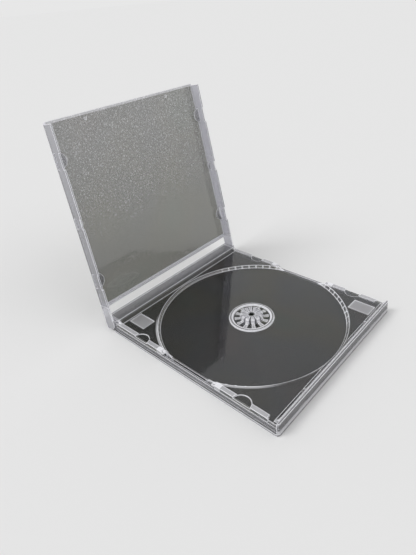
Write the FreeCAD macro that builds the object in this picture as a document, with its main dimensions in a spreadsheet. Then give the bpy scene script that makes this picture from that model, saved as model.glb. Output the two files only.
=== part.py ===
"""Clear hinged storage case for one disc: moulded lid, base shell and disc tray.

Frame: origin on the table plane under the middle of the case, +Z up, +X from the
hinge towards the free edge, Y along the hinge.  Millimetres.  The lid is drawn
closed and then swung open about its two pins.
"""
import FreeCAD, Part
import math
import os
import re
import Sketcher

SIZES = (
    # overall
    ("case_length", 142.0),
    ("case_width", 125.0),
    ("case_height", 10.0),
    ("wall", 1.2),
    ("corner_radius", 2.0),
    # lid on base
    ("lid_gap", 0.15),
    ("lid_open_angle", 100.0),
    ("lid_corner_radius", 1.0),
    ("arm_length", 15.0),
    ("arm_corner_radius", 1.0),
    ("arm_clearance", 0.14),
    ("pivot_inset", 4.7),
    ("pivot_height", 5.4),
    ("pin_radius", 1.5),
    ("pin_clearance", 0.05),
    ("edge_rib_drop", 1.6),
    ("edge_rib_end_gap", 0.3),
    # booklet tabs inside the lid
    ("tab_spacing", 41.0),
    ("tab_radius", 5.25),
    ("tab_reach", 5.2),
    ("mid_tab_radius", 3.66),
    ("mid_tab_reach", 2.6),
    ("mid_tab_half_length", 3.5),
    ("tab_thickness", 0.8),
    ("tab_drop", 1.7),
    ("tab_notch_depth", 1.0),
    ("nub_inset", 4.0),
    ("nub_offset", 34.5),
    ("nub_size", 1.6),
    ("nub_drop", 0.6),
    # base shell
    ("end_wall_height", 8.2),
    ("side_wall_height", 3.9),
    ("ear_length", 10.2),
    # tray sheet
    ("tray_wall", 1.0),
    ("tray_end_gap", 0.3),
    ("tray_side_gap", 0.25),
    ("tray_seat_gap", 0.1),
    ("inlay_gap", 0.25),
    ("plateau_height", 6.0),
    ("spine_strip_height", 8.1),
    ("spine_strip_width", 9.0),
    ("spine_slope", 3.0),
    ("free_strip_height", 8.0),
    ("free_strip_width", 0.5),
    ("free_slope", 2.3),
    ("rail_height", 6.6),
    ("rail_width", 2.8),
    ("rail_end_radius", 0.5),
    ("rail_end_gap", 2.1),
    ("rail_free_gap", 6.0),
    ("tab_recess_clearance", 0.6),
    ("tab_recess_depth", 0.4),
    ("nub_notch_clearance", 0.4),
    # frosted fields sunk in the plateau
    ("field_length", 14.0),
    ("field_width", 9.7),
    ("field_depth", 0.15),
    ("hinge_field_x", -49.3),
    ("hinge_field_y", -48.2),
    ("free_field_x", 58.7),
    ("free_field_y", 48.5),
    # disc well
    ("disc_centre", 5.6),
    ("well_radius", 62.0),
    ("well_rim_width", 1.4),
    ("well_floor_height", 4.2),
    ("rim_rib_count", 29.0),
    ("rim_rib_sweep", 140.0),
    ("rim_rib_width", 0.7),
    ("rim_rib_reach", 0.6),
    ("grip_cut_depth", 3.1),
    # hub
    ("seat_ring_inner", 12.4),
    ("seat_ring_outer", 14.8),
    ("seat_ring_height", 0.8),
    ("hub_radius", 7.45),
    ("hub_height", 3.4),
    ("hub_edge", 0.8),
    ("hub_hole_radius", 2.2),
    ("hub_dish", 0.8),
    ("finger_count", 12.0),
    ("finger_slot_reach", 11.5),
    ("finger_slot_width", 0.8),
    # snap lugs of the tray
    ("lug_width", 6.0),
    ("lug_height", 1.0),
    ("lug_level", 2.2),
    ("lug_offset", 40.0),
    ("lug_depth", 0.4),
    ("lug_clearance", 0.15),
)

HALF_LENGTH = "(case_length / 2)"
HALF_WIDTH = "(case_width / 2)"
SPINE = "(-case_length / 2)"
PIVOT_X = "(pivot_inset - case_length / 2)"
PANEL_UNDERSIDE = "(case_height - wall)"
PANEL_EDGE = "(arm_length - case_length / 2)"
LID_SIDE_INSIDE = "(case_width / 2 - wall)"
LID_SIDE_BOTTOM = "(wall + lid_gap)"
LID_SIDE_END = "(case_length / 2 - wall - lid_gap)"
BASE_SIDE = "(case_width / 2 - wall - lid_gap)"
BASE_SIDE_INSIDE = "(case_width / 2 - 2 * wall - lid_gap)"
TAB_TOP = "(case_height - wall - tab_drop)"
ARM_SWEEP = (
    "(sqrt((pivot_inset - arm_corner_radius)^2"
    " + (case_height - arm_corner_radius - pivot_height)^2)"
    " + arm_corner_radius + arm_clearance)"
)
TRAY_END = "(case_length / 2 - wall - tray_end_gap)"
TRAY_SIDE = "(case_width / 2 - 2 * wall - lid_gap - tray_side_gap)"
TRAY_RAIL_SIDE = "(case_width / 2 - wall - lid_gap - tray_seat_gap)"
TRAY_BOTTOM = "(wall + inlay_gap)"
EAR_END = "(ear_length - case_length / 2)"
RAIL_THICKNESS = "(wall - tray_seat_gap)"
WELL_FLOOR_RADIUS = "(well_radius - well_rim_width)"
WELL_SIDE_CUT = "(well_radius - grip_cut_depth)"
GRIP_HALF = "(sqrt(2 * well_radius * grip_cut_depth - grip_cut_depth^2) + tray_wall / 2)"
GRIP_HALF_GAP = "(sqrt(2 * well_radius * grip_cut_depth - grip_cut_depth^2) + tray_wall / 2 + rail_end_gap)"
RAIL_START = "(ear_length + tray_end_gap - case_length / 2)"
RAIL_END = "(case_length / 2 - wall - tray_end_gap - rail_free_gap)"
RIB_END = "(case_width / 2 - 2 * wall - lid_gap - edge_rib_end_gap)"


def bind(text):
    """Write the sheet's name before each size that an expression uses."""
    names = dict(SIZES)
    return re.sub(r"[a-z_]+", lambda m: "Sizes." + m.group(0) if m.group(0) in names else m.group(0), text)


def value(thing, text):
    """Present value of an expression of the sheet's sizes."""
    return float(thing.evalExpression(bind(text)))


def make_sheet(doc):
    sheet = doc.addObject("Spreadsheet::Sheet", "Sizes")
    for row, (alias, number) in enumerate(SIZES, start=1):
        sheet.set("A%d" % row, alias)
        sheet.set("B%d" % row, str(number))
        sheet.setAlias("B%d" % row, alias)
    doc.recompute()
    return sheet


def origin_plane(body, role):
    for feature in body.Origin.OriginFeatures:
        if feature.Role == role:
            return feature
    raise ValueError(role)


def make_sketch(body, name, role, **offsets):
    """Sketch on an origin plane of the body; offsets are expressions for x, y and z."""
    sketch = body.newObject("Sketcher::SketchObject", name)
    sketch.AttachmentSupport = [(origin_plane(body, role), "")]
    sketch.MapMode = "FlatFace"
    for axis, text in offsets.items():
        sketch.setExpression("AttachmentOffset.Base." + axis, bind(text))
    return sketch


def pin_point(sketch, geometry, point, across, up):
    """Tie one point of a sketch to the sketch's origin by two sizes."""
    for kind, text in (("DistanceX", across), ("DistanceY", up)):
        number = value(sketch, text)
        index = sketch.addConstraint(Sketcher.Constraint(kind, -1, 1, geometry, point, number))
        sketch.setExpression("Constraints[%d]" % index, bind(text))


def draw_polygon(sketch, corners):
    first = sketch.GeometryCount
    count = len(corners)
    places = [FreeCAD.Vector(value(sketch, across), value(sketch, up), 0) for across, up in corners]
    for number in range(count):
        sketch.addGeometry(Part.LineSegment(places[number], places[(number + 1) % count]), False)
    for number in range(count):
        follower = first + (number + 1) % count
        sketch.addConstraint(Sketcher.Constraint("Coincident", first + number, 2, follower, 1))
    for number, (across, up) in enumerate(corners):
        pin_point(sketch, first + number, 1, across, up)


def draw_box(sketch, left, right, low, high):
    draw_polygon(sketch, [(left, low), (right, low), (right, high), (left, high)])


def draw_circle(sketch, across, up, radius):
    centre = FreeCAD.Vector(value(sketch, across), value(sketch, up), 0)
    circle = Part.Circle(centre, FreeCAD.Vector(0, 0, 1), value(sketch, radius))
    number = sketch.addGeometry(circle, False)
    pin_point(sketch, number, 3, across, up)
    index = sketch.addConstraint(Sketcher.Constraint("Radius", number, circle.Radius))
    sketch.setExpression("Constraints[%d]" % index, bind(radius))


def draw_half_moon(sketch, across, up, radius, chord):
    """Arc that bulges towards -Y, closed by a chord at the height given."""
    centre = FreeCAD.Vector(value(sketch, across), value(sketch, up), 0)
    size = value(sketch, radius)
    lift = value(sketch, chord) - centre.y
    angle = math.asin(lift / size)
    circle = Part.Circle(centre, FreeCAD.Vector(0, 0, 1), size)
    arc = sketch.addGeometry(Part.ArcOfCircle(circle, math.pi - angle, 2 * math.pi + angle), False)
    reach = math.sqrt(size * size - lift * lift)
    left = FreeCAD.Vector(centre.x - reach, centre.y + lift, 0)
    right = FreeCAD.Vector(centre.x + reach, centre.y + lift, 0)
    line = sketch.addGeometry(Part.LineSegment(right, left), False)
    sketch.addConstraint(Sketcher.Constraint("Coincident", arc, 2, line, 1))
    sketch.addConstraint(Sketcher.Constraint("Coincident", line, 2, arc, 1))
    pin_point(sketch, arc, 3, across, up)
    index = sketch.addConstraint(Sketcher.Constraint("Radius", arc, size))
    sketch.setExpression("Constraints[%d]" % index, bind(radius))
    for point in (1, 2):
        index = sketch.addConstraint(
            Sketcher.Constraint("DistanceY", -1, 1, line, point, value(sketch, chord)))
        sketch.setExpression("Constraints[%d]" % index, bind(chord))


def make_pad(body, sketch, name, length):
    pad = body.newObject("PartDesign::Pad", name)
    pad.Profile = sketch
    pad.setExpression("Length", bind(length))
    body.Document.recompute()
    return pad


def make_pocket(body, sketch, name, depth=None):
    """Pocket against the sketch's normal, through everything where no depth is given."""
    before = body.Shape.Volume
    pocket = body.newObject("PartDesign::Pocket", name)
    pocket.Profile = sketch
    if depth is None:
        pocket.Type = "ThroughAll"
    else:
        pocket.setExpression("Length", bind(depth))
    body.Document.recompute()
    if body.Shape.Volume > before - 1e-6:
        raise RuntimeError("%s cuts nothing" % name)
    return pocket


def round_edges(body, name, radius, wanted):
    """Fillet the edges of the body's last feature that the test picks."""
    last = body.Tip
    names = ["Edge%d" % n for n, edge in enumerate(last.Shape.Edges, start=1) if wanted(edge)]
    if not names:
        raise RuntimeError("%s finds no edge" % name)
    fillet = body.newObject("PartDesign::Fillet", name)
    fillet.Base = (last, names)
    fillet.setExpression("Radius", bind(radius))
    body.Document.recompute()
    return fillet


def along(edge, direction, x=None, y=None, z=None):
    """True for a straight edge in the direction, through the places that are given."""
    if not isinstance(edge.Curve, Part.Line):
        return False
    if abs(edge.Curve.Direction.dot(direction)) < 0.999:
        return False
    middle = edge.BoundBox.Center
    for place, found in ((x, middle.x), (y, middle.y), (z, middle.z)):
        if place is not None and abs(place - found) > 0.01:
            return False
    return True


def mirror_half(body, name):
    """Add the other side of a piece that is alike on both sides of the XZ plane."""
    mirror = body.newObject("PartDesign::Mirrored", name)
    mirror.TransformMode = "Whole shape"
    mirror.MirrorPlane = (origin_plane(body, "XZ_Plane"), [""])
    body.Tip = mirror
    body.Document.recompute()
    return mirror


ALONG_Y = FreeCAD.Vector(0, 1, 0)
ALONG_Z = FreeCAD.Vector(0, 0, 1)


def make_lid(doc):
    lid = doc.addObject("PartDesign::Body", "lid")
    lid.Label = "lid"

    sketch = make_sketch(lid, "LidPanelOutline", "XY_Plane", z=PANEL_UNDERSIDE)
    draw_box(sketch, PANEL_EDGE, HALF_LENGTH, "0", HALF_WIDTH)
    make_pad(lid, sketch, "LidPanel", "wall")

    # stiffening rib under the panel's hinge edge
    sketch = make_sketch(lid, "LidRibOutline", "XY_Plane", z=PANEL_UNDERSIDE + " - edge_rib_drop")
    draw_box(sketch, PANEL_EDGE, PANEL_EDGE + " + wall", "0", RIB_END)
    make_pad(lid, sketch, "LidRib", "edge_rib_drop")

    # side wall, which runs on as the hinge arm, round below the pin
    sketch = make_sketch(lid, "LidSideOutline", "XZ_Plane", z="-" + HALF_WIDTH)
    draw_polygon(sketch, [
        (LID_SIDE_END, LID_SIDE_BOTTOM),
        (LID_SIDE_END, "case_height"),
        (SPINE, "case_height"),
        (SPINE, "pivot_height"),
        (PIVOT_X, "pivot_height"),
        (PIVOT_X, LID_SIDE_BOTTOM),
    ])
    make_pad(lid, sketch, "LidSide", "wall")
    sketch = make_sketch(lid, "ArmEndOutline", "XZ_Plane", z="-" + HALF_WIDTH)
    draw_circle(sketch, PIVOT_X, "pivot_height", "pivot_inset")
    make_pad(lid, sketch, "ArmEnd", "wall")
    sketch = make_sketch(lid, "HingePinOutline", "XZ_Plane", z="-" + LID_SIDE_INSIDE)
    draw_circle(sketch, PIVOT_X, "pivot_height", "pin_radius")
    make_pad(lid, sketch, "HingePin", "lid_gap + wall")

    spine = value(doc.Sizes, SPINE)
    top = value(doc.Sizes, "case_height")
    round_edges(lid, "ArmCorner", "arm_corner_radius", lambda edge: along(edge, ALONG_Y, x=spine, z=top))
    free = value(doc.Sizes, HALF_LENGTH)
    side = value(doc.Sizes, HALF_WIDTH)
    round_edges(lid, "LidCorner", "lid_corner_radius", lambda edge: along(edge, ALONG_Z, x=free, y=side))

    # booklet tabs, each under a slot in the wall that its mould core leaves
    tabs = (
        ("Hinge", "disc_centre - tab_spacing", "tab_radius", "tab_reach", "tab_radius"),
        ("Middle", "disc_centre", "mid_tab_radius", "mid_tab_reach", "mid_tab_half_length"),
        ("Free", "disc_centre + tab_spacing", "tab_radius", "tab_reach", "tab_radius"),
    )
    for place, centre, radius, reach, half in tabs:
        sketch = make_sketch(lid, place + "TabOutline", "XY_Plane", z=TAB_TOP + " - tab_thickness")
        up = "%s - %s + %s" % (LID_SIDE_INSIDE, reach, radius)
        draw_half_moon(sketch, centre, up, radius, LID_SIDE_INSIDE + " + wall / 2")
        make_pad(lid, sketch, place + "Tab", "tab_thickness")
        sketch = make_sketch(lid, place + "TabSlotOutline", "XZ_Plane", z="-" + LID_SIDE_INSIDE)
        draw_box(sketch, "%s - %s" % (centre, half), "%s + %s" % (centre, half), TAB_TOP, PANEL_UNDERSIDE)
        make_pocket(lid, sketch, place + "TabSlot")
        sketch = make_sketch(lid, place + "TabNotchOutline", "XZ_Plane", z="-" + LID_SIDE_INSIDE)
        low = LID_SIDE_BOTTOM + " - lid_gap"
        high = LID_SIDE_BOTTOM + " + tab_notch_depth"
        draw_box(sketch, "%s - %s" % (centre, half), "%s + %s" % (centre, half), low, high)
        make_pocket(lid, sketch, place + "TabNotch")

    # small stop nubs near the free edge
    sketch = make_sketch(lid, "NubOutline", "XY_Plane", z=PANEL_UNDERSIDE + " - nub_drop")
    draw_box(
        sketch,
        HALF_LENGTH + " - nub_inset - nub_size / 2",
        HALF_LENGTH + " - nub_inset + nub_size / 2",
        "nub_offset - nub_size / 2",
        "nub_offset + nub_size / 2",
    )
    make_pad(lid, sketch, "Nub", "nub_drop")

    mirror_half(lid, "LidBothSides")
    lid.setExpression(
        "Placement",
        bind(
            "placement(vector(0; 0; 0); rotation(vector(0; -1; 0); lid_open_angle * 1 deg);"
            " vector(pivot_inset - case_length / 2; 0; pivot_height))"
        ),
    )
    doc.recompute()
    return lid


def make_base_shell(doc):
    base = doc.addObject("PartDesign::Body", "base_shell")
    base.Label = "base_shell"

    sketch = make_sketch(base, "PlateOutline", "XY_Plane")
    draw_box(sketch, SPINE, HALF_LENGTH, "0", HALF_WIDTH)
    make_pad(base, sketch, "Plate", "wall")
    sketch = make_sketch(base, "SpineWallOutline", "XY_Plane")
    draw_box(sketch, SPINE, SPINE + " + wall", "0", BASE_SIDE)
    make_pad(base, sketch, "SpineWall", "end_wall_height")
    sketch = make_sketch(base, "FreeWallOutline", "XY_Plane")
    draw_box(sketch, HALF_LENGTH + " - wall", HALF_LENGTH, "0", HALF_WIDTH)
    make_pad(base, sketch, "FreeWall", "end_wall_height")
    free = value(doc.Sizes, HALF_LENGTH)
    side = value(doc.Sizes, HALF_WIDTH)
    round_edges(base, "FreeCorner", "corner_radius", lambda edge: along(edge, ALONG_Z, x=free, y=side))

    # low side wall with a tall ear that carries the lid's pin
    sketch = make_sketch(base, "SideWallOutline", "XZ_Plane", z="-" + BASE_SIDE)
    draw_polygon(sketch, [
        (SPINE, "0"),
        (HALF_LENGTH + " - wall / 2", "0"),
        (HALF_LENGTH + " - wall / 2", "side_wall_height"),
        (EAR_END, "side_wall_height"),
        (EAR_END, "end_wall_height"),
        (SPINE, "end_wall_height"),
    ])
    make_pad(base, sketch, "SideWall", "wall")
    sketch = make_sketch(base, "PinHoleOutline", "XZ_Plane", z="-" + BASE_SIDE_INSIDE)
    draw_circle(sketch, PIVOT_X, "pivot_height", "pin_radius + pin_clearance")
    make_pocket(base, sketch, "PinHole")

    # room for the arm, whose corner swings below the flange as the lid goes back
    sketch = make_sketch(base, "HingeCornerOutline", "XZ_Plane", z="-" + BASE_SIDE)
    draw_box(sketch, SPINE + " - wall", PIVOT_X, "-wall", "end_wall_height")
    make_pocket(base, sketch, "HingeCorner")
    sketch = make_sketch(base, "ArmSweepOutline", "XZ_Plane", z="-" + BASE_SIDE)
    draw_circle(sketch, PIVOT_X, "pivot_height", ARM_SWEEP)
    make_pocket(base, sketch, "ArmSweep")

    # slots in both end walls for the tray's snap lugs
    for place, inner in (("Spine", SPINE + " + wall"), ("Free", HALF_LENGTH + " - wall")):
        sketch = make_sketch(base, place + "LugSlotOutline", "XY_Plane", z="lug_level + lug_height + lug_clearance")
        inward = "0" if place == "Spine" else "lug_depth + lug_clearance"
        outward = "lug_depth + lug_clearance" if place == "Spine" else "0"
        draw_box(
            sketch,
            inner + " - (" + outward + ")",
            inner + " + (" + inward + ")",
            "lug_offset - lug_width / 2 - lug_clearance",
            "lug_offset + lug_width / 2 + lug_clearance",
        )
        make_pocket(base, sketch, place + "LugSlot", "lug_height + 2 * lug_clearance")

    mirror_half(base, "BaseBothSides")
    return base


def make_disc_tray(doc):
    tray = doc.addObject("PartDesign::Body", "disc_tray")
    tray.Label = "disc_tray"

    # sheet that bends over the spine strip, down to the plateau and up at the free edge
    sketch = make_sketch(tray, "SheetSection", "XZ_Plane", z="-" + TRAY_SIDE)
    end = TRAY_END
    strip = "(-%s + spine_strip_width)" % end
    foot = "(-%s + spine_strip_width + spine_slope)" % end
    lip = "(%s - free_strip_width)" % end
    rise = "(%s - free_strip_width - free_slope)" % end
    draw_polygon(sketch, [
        ("-" + end, TRAY_BOTTOM),
        ("-" + end, "spine_strip_height"),
        (strip, "spine_strip_height"),
        (foot, "plateau_height"),
        (rise, "plateau_height"),
        (lip, "free_strip_height"),
        (end, "free_strip_height"),
        (end, TRAY_BOTTOM),
        (end + " - tray_wall", TRAY_BOTTOM),
        (end + " - tray_wall", "plateau_height - tray_wall"),
        (foot + " - 0.7 * tray_wall", "plateau_height - tray_wall"),
        (strip + " - 0.7 * tray_wall", "spine_strip_height - tray_wall"),
        ("-" + end + " + tray_wall", "spine_strip_height - tray_wall"),
        ("-" + end + " + tray_wall", TRAY_BOTTOM),
    ])
    make_pad(tray, sketch, "Sheet", TRAY_SIDE)
    sketch = make_sketch(tray, "SideFlangeOutline", "XY_Plane", z="plateau_height - tray_wall")
    draw_box(sketch, RAIL_START, end, TRAY_SIDE + " - tray_wall", TRAY_RAIL_SIDE)
    make_pad(tray, sketch, "SideFlange", "tray_wall")

    # corner rails on the base's side walls, open in the middle for the fingers
    sketch = make_sketch(tray, "RailOutline", "XZ_Plane", z="-" + TRAY_RAIL_SIDE)
    low = "side_wall_height + tray_seat_gap"
    rail_ends = ("disc_centre - " + GRIP_HALF_GAP, "disc_centre + " + GRIP_HALF_GAP, RAIL_END)
    draw_box(sketch, RAIL_START, rail_ends[0], low, "rail_height")
    draw_box(sketch, rail_ends[1], rail_ends[2], low, "rail_height")
    make_pad(tray, sketch, "Rail", RAIL_THICKNESS)
    ends = [value(doc.Sizes, place) for place in rail_ends]
    top = value(doc.Sizes, "rail_height")
    round_edges(
        tray, "RailEnd", "rail_end_radius",
        lambda edge: any(along(edge, ALONG_Y, x=place, z=top) for place in ends))
    sketch = make_sketch(tray, "RidgeOutline", "XZ_Plane", z="-" + TRAY_RAIL_SIDE)
    low = "plateau_height - tray_wall / 2"
    draw_box(sketch, RAIL_START, rail_ends[0] + " - rail_end_radius", low, "rail_height")
    draw_box(sketch, rail_ends[1] + " + rail_end_radius", rail_ends[2] + " - rail_end_radius", low, "rail_height")
    make_pad(tray, sketch, "Ridge", "rail_width")

    # half-moon recesses that clear the lid's tabs
    sketch = make_sketch(tray, "TabRecessOutline", "XY_Plane", z="case_height")
    for centre in ("disc_centre - tab_spacing", "disc_centre + tab_spacing"):
        up = "%s - tab_reach + tab_radius" % LID_SIDE_INSIDE
        draw_circle(sketch, centre, up, "tab_radius + tab_recess_clearance")
    make_pocket(tray, sketch, "TabRecess", "case_height - plateau_height + tab_recess_depth")
    sketch = make_sketch(tray, "NubNotchOutline", "XY_Plane", z="case_height")
    draw_box(
        sketch,
        HALF_LENGTH + " - nub_inset - nub_size / 2 - nub_notch_clearance",
        HALF_LENGTH + " - nub_inset + nub_size / 2 + nub_notch_clearance",
        "nub_offset - nub_size / 2 - nub_notch_clearance",
        "nub_offset + nub_size / 2 + nub_notch_clearance",
    )
    make_pocket(tray, sketch, "NubNotch", "case_height - plateau_height")

    # snap lugs on both end skirts
    sketch = make_sketch(tray, "LugOutline", "XY_Plane", z="lug_level")
    low = "lug_offset - lug_width / 2"
    high = "lug_offset + lug_width / 2"
    draw_box(sketch, "-%s - tray_end_gap - lug_depth" % end, "-%s + tray_wall / 2" % end, low, high)
    draw_box(sketch, end + " - tray_wall / 2", end + " + tray_end_gap + lug_depth", low, high)
    make_pad(tray, sketch, "Lug", "lug_height")
    mirror_half(tray, "SheetBothSides")
    sketch = make_sketch(tray, "FieldOutline", "XY_Plane", z="case_height")
    for place in ("hinge_field", "free_field"):
        draw_box(
            sketch,
            place + "_x - field_length / 2",
            place + "_x + field_length / 2",
            place + "_y - field_width / 2",
            place + "_y + field_width / 2",
        )
    make_pocket(tray, sketch, "Field", "case_height - plateau_height + field_depth")

    # round well with a sloped rim, and the hub that grips the disc, as one turned form
    sketch = make_sketch(tray, "WellOutline", "XY_Plane", z="case_height")
    draw_circle(sketch, "disc_centre", "0", "well_radius")
    make_pocket(tray, sketch, "WellOpening")
    floor = "well_floor_height"
    under = "(well_floor_height - tray_wall)"
    hub_top = "(well_floor_height + hub_height)"
    sketch = make_sketch(tray, "WellSection", "XZ_Plane", x="disc_centre")
    draw_polygon(sketch, [
        ("hub_hole_radius", hub_top + " - hub_dish"),
        ("hub_radius - hub_edge", hub_top),
        ("hub_radius", hub_top + " - hub_edge"),
        ("hub_radius", floor + " + hub_edge"),
        ("hub_radius + hub_edge", floor),
        ("seat_ring_inner", floor),
        ("seat_ring_inner + seat_ring_height / 3", floor + " + seat_ring_height"),
        ("seat_ring_outer - seat_ring_height / 3", floor + " + seat_ring_height"),
        ("seat_ring_outer", floor),
        (WELL_FLOOR_RADIUS, floor),
        ("well_radius", "plateau_height"),
        ("well_radius + 0.6 * tray_wall", "plateau_height"),
        ("well_radius + 0.6 * tray_wall", "plateau_height - tray_wall"),
        (WELL_FLOOR_RADIUS + " + 0.8 * tray_wall", under),
        ("hub_radius - 0.5 * tray_wall", under),
        ("hub_radius - tray_wall", under + " + 0.5 * tray_wall"),
        ("hub_radius - tray_wall", hub_top + " - hub_edge - 0.6 * tray_wall"),
        ("hub_radius - hub_edge - 0.4 * tray_wall", hub_top + " - tray_wall"),
        ("hub_hole_radius", hub_top + " - hub_dish - tray_wall"),
    ])
    well = tray.newObject("PartDesign::Revolution", "Well")
    well.Profile = sketch
    well.ReferenceAxis = (sketch, ["V_Axis"])
    well.Angle = 360
    doc.recompute()

    # small upright ribs all along the rim, on the hinge side and on the free side
    for place, side, start in (("Free", -1, "rim_rib_sweep / 2"), ("Hinge", 1, "180 - rim_rib_sweep / 2")):
        sketch = make_sketch(tray, place + "RimRibOutline", "XZ_Plane", x="disc_centre")
        turn = FreeCAD.Rotation(FreeCAD.Vector(0, side, 0), value(doc.Sizes, start))
        sketch.AttachmentOffset = FreeCAD.Placement(sketch.AttachmentOffset.Base, turn)
        sketch.setExpression("AttachmentOffset.Rotation.Angle", bind(start))
        draw_polygon(sketch, [
            (WELL_FLOOR_RADIUS + " - rim_rib_reach", floor + " - tray_wall / 4"),
            (WELL_FLOOR_RADIUS + " + tray_wall / 8", floor + " - tray_wall / 4"),
            ("well_radius + tray_wall / 8", "plateau_height - tray_wall / 4"),
            ("well_radius - rim_rib_reach", "plateau_height - tray_wall / 4"),
        ])
        rib = make_pad(tray, sketch, place + "RimRib", "rim_rib_width")
        rib.Midplane = True
        ribs = tray.newObject("PartDesign::PolarPattern", place + "RimRibs")
        ribs.Originals = [rib]
        ribs.Axis = (sketch, ["V_Axis"])
        ribs.setExpression("Angle", bind("rim_rib_sweep"))
        ribs.setExpression("Occurrences", bind("rim_rib_count"))
        tray.Tip = ribs
        doc.recompute()

    # the well is wider than the tray, so its floor ends in a straight lip at each side
    sketch = make_sketch(tray, "GripCutOutline", "XY_Plane", z="case_height")
    left = "disc_centre - " + GRIP_HALF
    right = "disc_centre + " + GRIP_HALF
    beyond = "(well_radius + 2 * tray_wall)"
    draw_box(sketch, left, right, WELL_SIDE_CUT, beyond)
    draw_box(sketch, left, right, "-" + beyond, "-" + WELL_SIDE_CUT)
    make_pocket(tray, sketch, "GripCut")
    sketch = make_sketch(tray, "GripLipOutline", "XY_Plane", z=TRAY_BOTTOM)
    draw_box(sketch, left, right, WELL_SIDE_CUT + " - tray_wall", WELL_SIDE_CUT)
    draw_box(sketch, left, right, "-" + WELL_SIDE_CUT, "tray_wall - " + WELL_SIDE_CUT)
    make_pad(tray, sketch, "GripLip", floor + " - tray_wall / 2 - " + TRAY_BOTTOM)

    # wedge slots that part the hub into springy fingers
    sketch = make_sketch(tray, "FingerSlotOutline", "XY_Plane", x="disc_centre", z="case_height")
    near = "(finger_slot_width * 0.25)"
    far = "(finger_slot_width * 0.7)"
    draw_polygon(sketch, [
        ("hub_hole_radius / 2", "-" + near),
        ("finger_slot_reach - " + far, "-" + far),
        ("finger_slot_reach", "-" + far + " / 2"),
        ("finger_slot_reach", far + " / 2"),
        ("finger_slot_reach - " + far, far),
        ("hub_hole_radius / 2", near),
    ])
    slot = make_pocket(tray, sketch, "FingerSlot")
    fingers = tray.newObject("PartDesign::PolarPattern", "Fingers")
    fingers.Originals = [slot]
    fingers.Axis = (sketch, ["N_Axis"])
    fingers.Angle = 360
    fingers.setExpression("Occurrences", bind("finger_count"))
    tray.Tip = fingers
    doc.recompute()
    return tray


def main():
    doc = FreeCAD.newDocument("disc_case")
    make_sheet(doc)
    pieces = [make_lid(doc), make_base_shell(doc), make_disc_tray(doc)]
    doc.recompute()
    for thing in doc.Objects:
        if "Invalid" in thing.State or "Error" in thing.State:
            raise RuntimeError("%s failed: %s" % (thing.Name, thing.State))
    for piece in pieces:
        shape = piece.Shape
        if shape.isNull() or not shape.isValid() or len(shape.Solids) != 1:
            raise RuntimeError("%s is not one valid solid" % piece.Label)
    os.makedirs("parts", exist_ok=True)
    for piece in pieces:
        shape = piece.Shape
        shape.exportStep("parts/%s.step" % piece.Label)
        box = shape.BoundBox
        print("%s  volume %.1f mm3  x %.2f..%.2f  y %.2f..%.2f  z %.2f..%.2f" % (
            piece.Label, shape.Volume, box.XMin, box.XMax, box.YMin, box.YMax, box.ZMin, box.ZMax))


main()
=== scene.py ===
"""Looks of a clear, hinged disc storage case that stands open on a pale floor."""

import math

import bpy
from mathutils import Matrix, Vector

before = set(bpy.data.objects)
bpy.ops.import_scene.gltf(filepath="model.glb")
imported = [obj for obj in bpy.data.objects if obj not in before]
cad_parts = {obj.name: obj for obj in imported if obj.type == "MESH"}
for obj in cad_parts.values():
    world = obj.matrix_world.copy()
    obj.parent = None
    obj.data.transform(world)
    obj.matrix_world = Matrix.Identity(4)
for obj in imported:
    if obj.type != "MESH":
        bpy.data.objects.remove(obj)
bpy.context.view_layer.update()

bl_info = {
    "name": "Disc Storage Case",
    "version": (1, 0, 0),
    "blender": (4, 5, 0),
    "location": "3D View > Sidebar > Disc Case",
    "description": "Finishes the clear plastic case and sets its stage",
    "category": "Object",
}

MM = 0.001


def mm(*sizes):
    """Sizes written in millimetres, as metres."""
    return tuple(size * MM for size in sizes)


# Edges. Two corners of a mesh that are closer than WELD are one.
WELD = 0.002 * MM
EDGE_SEGMENTS = 2
EDGE_ANGLE = math.radians(35.0)
EDGE_SAMPLES = 6
EDGE_TURN = (0.003, 0.045)

# Grain, clouds and scratches of the plastic; the bright specks on the grain are a painted reflection. Scales
# are repeats in a metre.
CLOUD_SCALE = 26.0
FILM_SCALE = 17.0
PEBBLE_SCALE = 980.0
PEBBLE_ROUGHNESS = 0.4
SPECK_RISE = (0.46, 0.80)
SAND_SCALE = 2600.0
SCRATCH_SCALE = 2.4
SCRATCH_STRETCH = (25.0, 2600.0, 2600.0)
SCRATCH_TURN = (0.0, 0.3, 0.6)
SCRATCH_RISE = (0.66, 0.74)
BUMP_STRENGTH = 0.5
BUMP_DEPTH = 0.06 * MM

PLASTIC_IOR = 1.55
MILK_ROUGHNESS = 0.3

# Colours that moulding stress leaves in the panels, as stops of a ramp.
FILM = (
    (0.30, (0.75, 1.0, 0.85, 1.0)),
    (0.42, (1.0, 0.97, 0.80, 1.0)),
    (0.56, (0.82, 0.88, 1.0, 1.0)),
    (0.70, (1.0, 0.86, 0.92, 1.0)),
)

# What each feature adds to the roughness, to the bump's height and to the milkiness.
# The milk is real frosting where frost, sand and scratches add it, and painted light elsewhere: painted
# highlights on edges and bright places, painted glow in walls, and a painted reflection in the specks.
ROUGH_PLAIN = 0.03
ROUGH_OF = {"wall": 0.1, "frost": 0.3, "edge": 0.1, "cloud": 0.03, "scratches": 0.1, "glinting_specks": 0.15}
HEIGHT_OF = {"pebbles": 0.5, "cloud": 0.5, "sand": 0.6, "scratches": -0.1}
MILK_PLAIN = 0.015
MILK_AND_HIGHLIGHT_OF = {
    "edge": 0.95,
    "wall": 0.16,
    "frost": 0.16,
    "sand": 0.2,
    "glinting_specks": 0.28,
    "scratches": 0.09,
    "bright": 1.0,
}

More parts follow.
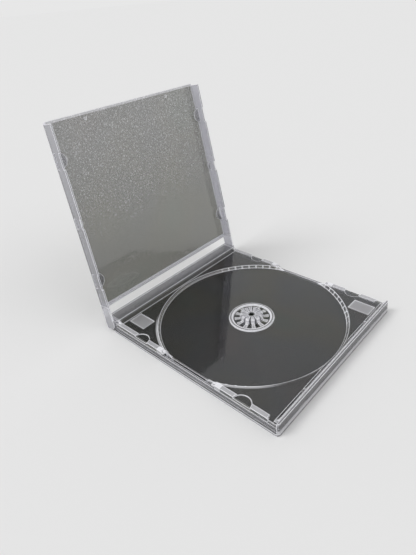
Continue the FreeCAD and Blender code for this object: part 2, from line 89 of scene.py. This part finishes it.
# For each moulding: how far in from an edge its painted edge highlight reaches, how dark its panels
# are, and their share of the rainbow. The lid's panels are darker than the others as painted shade.
LOOKS = {
    "lid": {"reach": 0.55 * MM, "panel_shade": 0.7, "stress": 0.3},
    "base_shell": {"reach": 0.5 * MM, "panel_shade": 1.0, "stress": 0.8},
    "disc_tray": {"reach": 0.6 * MM, "panel_shade": 1.0, "stress": 1.8},
}

# Base and tray carry next to no grain.
FAINT_GRAIN = 0.1

# Places of a Mix node's colour sockets.
COLOUR_A = 6
COLOUR_B = 7
MIXED_COLOUR = 2


class Wave:
    """A number that varies over a surface. Arithmetic on it adds Math nodes."""

    def __init__(self, finish, socket):
        self.finish = finish
        self.socket = socket

    def math(self, operation, *others, clamp=False):
        settings = {"operation": operation, "use_clamp": clamp}
        made = self.finish.node("ShaderNodeMath", settings, dict(enumerate((self,) + others)))
        return Wave(self.finish, made.outputs[0])

    def __add__(self, other):
        return self.math("ADD", other)

    __radd__ = __add__

    def __mul__(self, other):
        return self.math("MULTIPLY", other)

    __rmul__ = __mul__

    def __neg__(self):
        return self * -1.0

    def __sub__(self, other):
        return self.math("SUBTRACT", other)

    def __rsub__(self, other):
        return -self + other

    def __pow__(self, other):
        return self.math("POWER", other)

    def abs(self):
        return self.math("ABSOLUTE")

    def clamped(self):
        return self.math("ADD", 0.0, clamp=True)

    def above(self, level):
        return self.math("GREATER_THAN", level)

    def below(self, level):
        return self.math("LESS_THAN", level)

    def within(self, low, high):
        """1 between low and high, 0 elsewhere."""
        return self.above(low) * self.below(high)

    def rise(self, low, high):
        """0 below low, 1 above high, smooth between."""
        made = self.finish.node(
            "ShaderNodeMapRange",
            {"interpolation_type": "SMOOTHSTEP"},
            {"Value": self, "From Min": low, "From Max": high},
        )
        return Wave(self.finish, made.outputs["Result"])


def weighted(parts, weights, plain=0.0):
    """The named parts, each times its weight, on top of a plain amount."""
    total = plain
    for name, weight in weights.items():
        total = parts[name] * weight + total
    return total


def set_stops(elements, stops):
    """Give a new colour ramp its stops, from lowest to highest."""
    first, *middle, last = stops
    for element, (position, colour) in zip(elements, (first, last)):
        element.position = position
        element.color = colour
    for position, colour in middle:
        elements.new(position).color = colour


class Finish:
    """The nodes of a material or of the world."""

    def __init__(self, owner, output):
        owner.use_nodes = True
        self.tree = owner.node_tree
        self.tree.nodes.clear()
        self.output = self.node(output)

    def node(self, kind, settings=None, sockets=None):
        """Add a node: its settings first, then the values or links of its sockets."""
        made = self.tree.nodes.new(kind)
        for key, item in (settings or {}).items():
            if key == "stops":
                set_stops(made.color_ramp.elements, item)
            else:
                setattr(made, key, item)
        for key, item in (sockets or {}).items():
            if isinstance(item, Wave):
                item = item.socket
            if isinstance(item, bpy.types.NodeSocket):
                self.tree.links.new(item, made.inputs[key])
            else:
                made.inputs[key].default_value = item
        return made

    def surface(self, shader):
        self.tree.links.new(shader.outputs[0], self.output.inputs["Surface"])


class Plastic(Finish):
    """The material of one clear moulding, made from masks on its Object coordinates."""

    def __init__(self, node):
        self.material = bpy.data.materials.new(node + "_plastic")
        super().__init__(self.material, "ShaderNodeOutputMaterial")
        self.place = self.node("ShaderNodeTexCoord").outputs["Object"]
        parts = self.node("ShaderNodeSeparateXYZ", sockets={"Vector": self.place})
        self.x, self.y, self.z = [Wave(self, socket) for socket in parts.outputs]
        self.cloud = self.noise(self.place, CLOUD_SCALE, detail=3.0)

    def noise(self, vector, scale, detail=1.0, roughness=0.5):
        sockets = {"Vector": vector, "Scale": scale, "Detail": detail, "Roughness": roughness}
        return Wave(self, self.node("ShaderNodeTexNoise", sockets=sockets).outputs["Fac"])

    def edges(self, reach):
        """About 1 on a moulded edge, 0 on a flat."""
        rounded = self.node("ShaderNodeBevel", {"samples": EDGE_SAMPLES}, {"Radius": reach})
        flat = self.node("ShaderNodeNewGeometry").outputs["True Normal"]
        settings = {"operation": "DOT_PRODUCT"}
        same = self.node("ShaderNodeVectorMath", settings, {0: rounded.outputs[0], 1: flat})
        return (1 - Wave(self, same.outputs["Value"])).rise(*EDGE_TURN)

    def scratches(self):
        """Fine parallel scratches, from a noise that is stretched one way."""
        sockets = {"Vector": self.place, "Scale": SCRATCH_STRETCH, "Rotation": SCRATCH_TURN}
        stretched = self.node("ShaderNodeMapping", sockets=sockets).outputs[0]
        return self.noise(stretched, SCRATCH_SCALE, detail=2.0).rise(*SCRATCH_RISE)

    def colour(self, settings, wall, panel_shade, stress):
        """The panels' tint under the rainbow, darker on the lid as painted shade, and where wall is 1 the
        walls' lighter tint, which is painted glow.
        """
        film = self.node(
            "ShaderNodeValToRGB",
            {"stops": FILM},
            {"Fac": self.noise(self.place, FILM_SCALE)},
        )
        panel = self.node(
            "ShaderNodeMix",
            {"data_type": "RGBA", "blend_type": "MULTIPLY"},
            {
                "Factor": settings.rainbow * stress,
                COLOUR_A: (*[part * panel_shade for part in settings.panel], 1.0),
                COLOUR_B: film.outputs["Color"],
            },
        )
        tint = self.node(
            "ShaderNodeMix",
            {"data_type": "RGBA"},
            {
                "Factor": wall,
                COLOUR_A: panel.outputs[MIXED_COLOUR],
                COLOUR_B: (*settings.wall, 1.0),
            },
        )
        return tint.outputs[MIXED_COLOUR]

    def build(self, settings, wall, frost, grain, quiet, bright, reach, panel_shade, stress):
        """Join clear plastic and a milky white: real frosting where frost, sand and scratches add it, and
        painted light elsewhere.

        wall is 1 on walls and ribs, whose lighter tint and milk are painted glow; frost is 1 on frosted
        places; grain is how strongly the pebbled grain shows, real bumps whose bright specks are a painted
        reflection.
        The painted edge highlight is left out where quiet is 1, and bright adds painted highlights.
        """
        pebbles = self.noise(self.place, PEBBLE_SCALE, roughness=PEBBLE_ROUGHNESS)
        parts = {
            "wall": wall,
            "frost": frost,
            "bright": bright,
            "edge": self.edges(reach) * (1 - quiet),
            "cloud": self.cloud,
            "pebbles": pebbles * grain,
            "glinting_specks": pebbles.rise(*SPECK_RISE) * grain,
            "sand": self.noise(self.place, SAND_SCALE) * frost,
            "scratches": self.scratches(),
        }
        bump = self.node(
            "ShaderNodeBump",
            sockets={
                "Height": weighted(parts, HEIGHT_OF),
                "Strength": BUMP_STRENGTH,
                "Distance": BUMP_DEPTH,
            },
        )
        clear = self.node(
            "ShaderNodeBsdfPrincipled",
            sockets={
                "Base Color": self.colour(settings, wall, panel_shade, stress),
                "Roughness": weighted(parts, ROUGH_OF, ROUGH_PLAIN),
                "IOR": PLASTIC_IOR,
                "Transmission Weight": 1.0,
                "Normal": bump.outputs[0],
            },
        )
        milk_and_highlight = self.node(
            "ShaderNodeBsdfPrincipled",
            sockets={
                "Base Color": (*settings.milk_and_highlight, 1.0),
                "Roughness": MILK_ROUGHNESS,
                "IOR": PLASTIC_IOR,
                "Normal": bump.outputs[0],
            },
        )
        share = weighted(parts, MILK_AND_HIGHLIGHT_OF, MILK_PLAIN).clamped()
        sockets = {0: share, 1: clear.outputs[0], 2: milk_and_highlight.outputs[0]}
        self.surface(self.node("ShaderNodeMixShader", sockets=sockets))


def finish_moulding(node, plastic, settings):
    """Round a moulding's edges and give it its material."""
    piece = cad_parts[node]
    weld = piece.modifiers.new("weld", "WELD")
    weld.merge_threshold = WELD
    rounding = piece.modifiers.new("rounding", "BEVEL")
    rounding.width = settings.edge_width
    rounding.segments = EDGE_SEGMENTS
    rounding.limit_method = "ANGLE"
    rounding.angle_limit = EDGE_ANGLE
    rounding.use_clamp_overlap = True
    materials = piece.data.materials
    if materials:
        for number in range(len(materials)):
            materials[number] = plastic.material
    else:
        materials.append(plastic.material)


class CASE_PG_plastic(bpy.types.PropertyGroup):
    """Tints of the clear plastic, and its rounded edges"""

    panel: bpy.props.FloatVectorProperty(
        name="Panel", description="What the flat panels let through", subtype="COLOR", size=3,
        min=0.0, max=1.0, default=(0.345, 0.345, 0.32))
    # Walls, ribs and tabs are the same plastic as the panels; their lighter tint is painted glow.
    wall: bpy.props.FloatVectorProperty(
        name="Wall", description="What the walls, ribs and tabs let through", subtype="COLOR", size=3,
        min=0.0, max=1.0, default=(0.53, 0.53, 0.585))
    # The milk colour is real frosting on frosted places, and painted highlights and painted glow elsewhere.
    milk_and_highlight: bpy.props.FloatVectorProperty(
        name="Milk", description="Light scattered by edges and frosted places", subtype="COLOR", size=3,
        min=0.0, max=1.0, default=(0.93, 0.93, 0.97))
    rainbow: bpy.props.FloatProperty(
        name="Rainbow", description="Strength of the faint colours that moulding stress leaves in the panels",
        subtype="FACTOR", min=0.0, max=1.0, default=0.45)
    edge_width: bpy.props.FloatProperty(
        name="Edge width", description="Width of the rounding on every moulded edge", subtype="DISTANCE",
        unit="LENGTH", min=0.0, default=0.18 * MM)


class CASE_PG_stage(bpy.types.PropertyGroup):
    """Floor and light of the stage"""

    floor: bpy.props.FloatVectorProperty(
        name="Floor", description="Colour of the floor", subtype="COLOR", size=3, min=0.0, max=1.0,
        default=(0.80, 0.80, 0.80))
    sky: bpy.props.FloatProperty(
        name="Sky", description="Strength of the even light from all round", default=0.62, min=0.0)
    lamp: bpy.props.FloatProperty(
        name="Lamp", description="Strength of the main soft lamp", default=1.15, min=0.0)


class CASE_OT_lid(bpy.types.Operator):
    """Finish the lid, pebbled away from the hinge"""

    bl_idname = "disc_case.lid"
    bl_label = "Lid"

    # The lid leans back about its pins. Lengths run from the pins to its head, and
    # depths from the pins to its panel.
    PIN_X, PIN_Z = mm(-66.3, 5.4)
    OPENING = math.radians(100.0)
    SIDE_WALL = 61.2 * MM
    HINGE_RIB = 12.4 * MM
    TAB_DEPTH = 3.2 * MM
    TAB_WALL = 0.5
    RIB_BASE = 10.8 * MM
    RIB_EDGE = mm(12.0, 12.5)
    HEAD = 135.7 * MM
    # Where a painted reflection starts along the lid and where it reaches full strength at the head.
    REFLECTION_RISE = mm(50.0, 136.0)
    # The pebbled grain grows away from the hinge: its bumps are real, and its bright specks are a painted
    # reflection.
    GRAIN_RISE = mm(34.0, 84.0)
    GRAIN_SWAY = 30.0 * MM
    GRAIN_LEAST = 0.08
    # Painted highlights on the lid's head and hinge rib, and a painted reflection that brightens the lid
    # towards its head.
    LIGHT = {"head": 0.45, "reflection_toward_head": 0.1, "rib": 0.12, "rib_edge": 0.45}

    def execute(self, context):
        settings = context.scene.disc_case_plastic
        plastic = Plastic("lid")
        across, up = plastic.x - self.PIN_X, plastic.z - self.PIN_Z
        along = across * math.cos(self.OPENING) + up * math.sin(self.OPENING)
        depth = up * math.cos(self.OPENING) - across * math.sin(self.OPENING)
        tabs = depth.below(self.TAB_DEPTH) * self.TAB_WALL
        wall = (plastic.y.abs().above(self.SIDE_WALL) + along.below(self.HINGE_RIB) + tabs).clamped()
        swayed = along + (plastic.cloud - 0.5) * self.GRAIN_SWAY
        marks = {
            "head": along.above(self.HEAD),
            "reflection_toward_head": along.rise(*self.REFLECTION_RISE),
            "rib": along.below(self.RIB_BASE),
            "rib_edge": along.within(*self.RIB_EDGE),
        }
        plastic.build(
            settings,
            wall=wall,
            frost=0.0,
            grain=swayed.rise(*self.GRAIN_RISE) * (1 - wall) + self.GRAIN_LEAST,
            quiet=0.0,
            bright=weighted(marks, self.LIGHT),
            **LOOKS["lid"],
        )
        finish_moulding("lid", plastic, settings)
        return {"FINISHED"}


class CASE_OT_base(bpy.types.Operator):
    """Finish the base shell, with a clear band round its walls and a painted highlight on its foot"""

    bl_idname = "disc_case.base"
    bl_label = "Base"

    PLATE_TOP = 1.25 * MM
    OUTER_SIDE = 62.2 * MM
    OUTER_END = 70.8 * MM
    CLEAR_BAND = mm(1.9, 7.4)
    CLEARNESS = 0.7
    SIDE_FOOT = 61.6 * MM
    SIDE_FOOT_TOP = 1.6 * MM

    # The end walls have a painted highlight on their foot, and where they meet the floor the painted edge
    # highlight is mostly left out, so a darker line shows there.
    END_FOOT = 70.1 * MM
    END_FOOT_RISE = mm(0.8, 1.3)
    END_FOOT_FADE = mm(2.8, 4.0)
    END_LINE_TOP = 0.8 * MM
    END_LINE_QUIET = 0.8
    LIGHT = {"side_foot": 0.18, "end_foot": 0.45}

    def execute(self, context):
        settings = context.scene.disc_case_plastic
        plastic = Plastic("base_shell")
        x, y, z = plastic.x.abs(), plastic.y.abs(), plastic.z
        outer = (y.above(self.OUTER_SIDE) + x.above(self.OUTER_END)).clamped()
        band = z.within(*self.CLEAR_BAND) * self.CLEARNESS
        end = x.above(self.END_FOOT)
        marks = {
            "side_foot": z.below(self.SIDE_FOOT_TOP) * y.above(self.SIDE_FOOT),
            "end_foot": z.rise(*self.END_FOOT_RISE) * (1 - z.rise(*self.END_FOOT_FADE)) * end,
        }
        plastic.build(
            settings,
            wall=(z.above(self.PLATE_TOP) * (1 - outer) + outer * (1 - band)).clamped(),
            frost=0.0,
            grain=plastic.cloud * FAINT_GRAIN,
            quiet=z.below(self.END_LINE_TOP) * end * self.END_LINE_QUIET,
            bright=weighted(marks, self.LIGHT),
            **LOOKS["base_shell"],
        )
        finish_moulding("base_shell", plastic, settings)
        return {"FINISHED"}


class CASE_OT_tray(bpy.types.Operator):
    """Finish the disc tray: ribbed rim, frosted seat and fields, and the hub's fingers"""

    bl_idname = "disc_case.tray"
    bl_label = "Tray"

    STRIP_TOP = 7.8 * MM
    RAIL_TOP = 6.1 * MM
    RAIL_SIDE = 58.0 * MM
    RAIL_ENDS = mm(14.8, 26.0)
    RAIL_END_SIDE = 57.6 * MM
    RAIL_END_FOOT = 3.0 * MM
    FOLDS = (mm(-60.8, -60.3), mm(-57.7, -57.2), mm(66.5, 67.0))
    FIELDS = (
        (mm(-56.3, -42.3), mm(-53.05, -43.35)),
        (mm(51.7, 65.7), mm(43.65, 53.35)),
    )
    FIELD_BORDER = 0.5 * MM

    # Radii round the hub's axis.
    HUB_X = 5.6 * MM
    CROWN = 7.7 * MM
    CROWN_FROST = 7.6 * MM
    SEAT = mm(12.2, 15.0)
    SEAT_FROST = mm(12.3, 14.9)
    SEAT_INNER = mm(12.1, 13.3)
    SEAT_OUTER = mm(14.4, 15.0)
    INNER_CIRCLE = mm(60.35, 60.8)
    OUTER_CIRCLE = mm(61.8, 62.25)
    RIM = mm(59.7, 62.9)
    RIM_SIDE = 56.5 * MM
    LIP = mm(61.7, 63.4)
    LIP_RISE = mm(34.0, 50.0)

    # The rim's ribs get the painted edge highlight on its far part and near the free corner. Elsewhere it is
    # left out.
    FAR_RIBS = mm(22.0, 40.0)
    NEAR_RIBS = mm(44.0, 54.0)

    FINGERS = 12.0
    FINGER_RISE = (-0.1, 0.45)
    FINGER_MIDDLE = (0.6, 0.95)
    FINGER_DIP = 0.4
    FINGER_RING = mm(7.0, 11.4)
    SLOT_RISE = (-0.3, 0.3)
    SLOT_RING = mm(7.9, 11.9)
    SPOKE_RISE = (-0.8, 0.0)
    SPOKE_RING = mm(2.6, 7.9)

    WALL = {"strip": 1.0, "rails": 1.0, "crown": 1.0, "seat": 0.5}
    FROST = {"fields": 1.0, "seat": 0.4, "crown": 0.6}
    # Painted highlights on the rim's circles, the seat's edges, the hub's fingers, the folds, the fields'
    # borders, the rails, the near part of the lip and the rail ends.
    LIGHT = {
        "circles": 0.5,
        "seat_inner": 0.55,
        "seat_outer": 0.3,
        "fingers": 0.65,
        "folds": 0.3,
        "border": 0.3,
        "rails": 0.25,
        "lip": 0.4,
        "rail_ends": 0.45,
    }

    def fields(self, x, y, inset=0.0):
        """1 on the two sunk fields, each smaller by inset all round."""
        total = 0.0
        for (west, east), (south, north) in self.FIELDS:
            field = x.within(west + inset, east - inset) * y.within(south + inset, north - inset)
            total = field + total
        return total

    def execute(self, context):
        settings = context.scene.disc_case_plastic
        plastic = Plastic("disc_tray")
        x, y, z = plastic.x, plastic.y, plastic.z
        from_hub = x - self.HUB_X
        radius = (from_hub ** 2.0 + y ** 2.0).math("SQRT")

        # A wave round the hub: 1 along the middle of each finger, -1 between two.
        finger = -(y.math("ARCTAN2", from_hub) * self.FINGERS).math("COSINE")
        hollow = 1 - finger.rise(*self.FINGER_MIDDLE) * self.FINGER_DIP
        slots = (1 - finger.rise(*self.SLOT_RISE)) * radius.within(*self.SLOT_RING)
        spokes = (1 - finger.rise(*self.SPOKE_RISE)) * radius.within(*self.SPOKE_RING)
        ribs = (y.rise(*self.FAR_RIBS) + (-y).rise(*self.NEAR_RIBS) * x.above(0.0)).clamped()
        rim = radius.within(*self.RIM) * (1 - ribs) * y.abs().below(self.RIM_SIDE)

        rails = z.above(self.RAIL_TOP) * y.abs().above(self.RAIL_SIDE)
        fields = self.fields(x, y)
        shapes = {
            "strip": z.above(self.STRIP_TOP),
            "rails": rails,
            "crown": radius.below(self.CROWN),
            "seat": radius.within(*self.SEAT),
        }
        frosted = {
            "fields": fields,
            "seat": radius.within(*self.SEAT_FROST),
            "crown": radius.below(self.CROWN_FROST),
        }
        ends = from_hub.abs().within(*self.RAIL_ENDS) * y.abs().above(self.RAIL_END_SIDE)
        marks = {
            "circles": radius.within(*self.OUTER_CIRCLE) + radius.within(*self.INNER_CIRCLE),
            "seat_inner": radius.within(*self.SEAT_INNER),
            "seat_outer": radius.within(*self.SEAT_OUTER),
            "fingers": finger.rise(*self.FINGER_RISE) * hollow * radius.within(*self.FINGER_RING),
            "folds": sum(x.within(*fold) for fold in self.FOLDS),
            "border": fields - self.fields(x, y, self.FIELD_BORDER),
            "rails": rails,
            "lip": radius.within(*self.LIP) * (-y).rise(*self.LIP_RISE),
            "rail_ends": ends * z.above(self.RAIL_END_FOOT),
        }
        plastic.build(
            settings,
            wall=weighted(shapes, self.WALL).clamped(),
            frost=weighted(frosted, self.FROST).clamped(),
            grain=plastic.cloud * FAINT_GRAIN,
            # The painted edge highlight is left out on the quiet part of the rim and in the hub's slots and
            # spokes.
            quiet=(rim + slots + spokes).clamped(),
            bright=weighted(marks, self.LIGHT),
            **LOOKS["disc_tray"],
        )
        finish_moulding("disc_tray", plastic, settings)
        return {"FINISHED"}


class CASE_OT_stage(bpy.types.Operator):
    """Set the floor, the lamps, the sky and the camera"""

    bl_idname = "disc_case.stage"
    bl_label = "Stage"

    FLOOR_SIZE = 80.0
    WHITE = (1.0, 1.0, 1.0, 1.0)

    # Each lamp: its name, where it stands, how wide it spreads and its share of the strength.
    LAMPS = (
        ("key", (-0.5, -0.7, 1.1), 30.0, 1.0),
        ("fill", (0.9, 0.2, 0.9), 40.0, 0.3),
    )

    # The photograph's camera: the angles it looks from, and the lens and centre in
    # pixels of a frame that is FRAME_HEIGHT high.
    AZIMUTH = math.radians(44.653)
    ELEVATION = math.radians(23.886)
    ROLL = math.radians(-5.372)
    AIM = (-0.14747, 0.1283, 0.0)
    DISTANCE = 0.495148
    FRAME_HEIGHT = 555.0
    FOCAL = 470.932
    SHIFT = (-4.7, -73.221)
    SENSOR = 36.0
    CLIP = (0.01, 200.0)

    def lay_floor(self, settings):
        bpy.ops.object.select_all(action="DESELECT")
        bpy.ops.mesh.primitive_plane_add(size=self.FLOOR_SIZE, location=(0.0, 0.0, 0.0))
        floor = bpy.context.object
        floor.name = "floor"
        material = bpy.data.materials.new("pale_floor")
        pale = Finish(material, "ShaderNodeOutputMaterial")
        pale.surface(pale.node("ShaderNodeBsdfDiffuse", sockets={"Color": (*settings.floor, 1.0)}))
        floor.data.materials.append(material)

    def light_sky(self, scene, settings):
        """Even light on the case, and the floor's own colour behind it."""
        scene.world = scene.world or bpy.data.worlds.new("studio")
        studio = Finish(scene.world, "ShaderNodeOutputWorld")
        rays = studio.node("ShaderNodeLightPath").outputs
        camera, clear, gloss = [
            Wave(studio, rays[name]) for name in ("Is Camera Ray", "Is Transmission Ray", "Is Glossy Ray")
        ]
        seen = camera.math("MAXIMUM", clear).math("MAXIMUM", gloss)
        sockets = {"Color": self.WHITE, "Strength": settings.sky}
        even = studio.node("ShaderNodeBackground", sockets=sockets)
        sockets = {"Color": (*settings.floor, 1.0), "Strength": 1.0}
        backdrop = studio.node("ShaderNodeBackground", sockets=sockets)
        sockets = {0: seen, 1: even.outputs[0], 2: backdrop.outputs[0]}
        studio.surface(studio.node("ShaderNodeMixShader", sockets=sockets))

    def hang_lamps(self, scene, settings):
        for name, place, spread, share in self.LAMPS:
            light = bpy.data.lights.new(name, "SUN")
            light.angle = math.radians(spread)
            light.energy = settings.lamp * share
            lamp = bpy.data.objects.new(name, light)
            scene.collection.objects.link(lamp)
            lamp.location = place
            lamp.rotation_mode = "QUATERNION"
            lamp.rotation_quaternion = Vector(place).to_track_quat("Z", "Y")

    def place_camera(self, scene):
        back = Vector((
            math.sin(self.AZIMUTH) * math.cos(self.ELEVATION),
            -math.cos(self.AZIMUTH) * math.cos(self.ELEVATION),
            math.sin(self.ELEVATION),
        ))
        level = Vector((math.cos(self.AZIMUTH), math.sin(self.AZIMUTH), 0.0))
        upright = back.cross(level)
        right = level * math.cos(self.ROLL) + upright * math.sin(self.ROLL)
        up = upright * math.cos(self.ROLL) - level * math.sin(self.ROLL)
        lens = bpy.data.cameras.new("view")
        lens.sensor_width = self.SENSOR
        lens.lens = self.SENSOR * self.FOCAL / self.FRAME_HEIGHT
        lens.shift_x, lens.shift_y = [pixels / self.FRAME_HEIGHT for pixels in self.SHIFT]
        lens.clip_start, lens.clip_end = self.CLIP
        camera = bpy.data.objects.new("view", lens)
        scene.collection.objects.link(camera)
        turn = Matrix((right, up, back)).transposed().to_4x4()
        camera.matrix_world = Matrix.Translation(Vector(self.AIM) + back * self.DISTANCE) @ turn
        scene.camera = camera

    def execute(self, context):
        scene = context.scene
        settings = scene.disc_case_stage
        self.lay_floor(settings)
        self.light_sky(scene, settings)
        self.hang_lamps(scene, settings)
        self.place_camera(scene)
        scene.view_settings.view_transform = "Standard"
        return {"FINISHED"}


class CASE_PT_panel(bpy.types.Panel):
    """The steps that finish the case, in order"""

    bl_label = "Disc Case"
    bl_idname = "CASE_PT_panel"
    bl_space_type = "VIEW_3D"
    bl_region_type = "UI"
    bl_category = "Disc Case"

    def draw(self, context):
        column = self.layout.column()
        for step in (CASE_OT_lid, CASE_OT_base, CASE_OT_tray, CASE_OT_stage):
            column.operator(step.bl_idname)


CLASSES = (
    CASE_PG_plastic,
    CASE_PG_stage,
    CASE_OT_lid,
    CASE_OT_base,
    CASE_OT_tray,
    CASE_OT_stage,
    CASE_PT_panel,
)


def register():
    for item in CLASSES:
        bpy.utils.register_class(item)
    bpy.types.Scene.disc_case_plastic = bpy.props.PointerProperty(type=CASE_PG_plastic)
    bpy.types.Scene.disc_case_stage = bpy.props.PointerProperty(type=CASE_PG_stage)


def unregister():
    del bpy.types.Scene.disc_case_stage
    del bpy.types.Scene.disc_case_plastic
    for item in reversed(CLASSES):
        bpy.utils.unregister_class(item)


def main():
    register()
    bpy.ops.disc_case.lid()
    bpy.ops.disc_case.base()
    bpy.ops.disc_case.tray()
    bpy.ops.disc_case.stage()


if __name__ == "__main__":
    main()
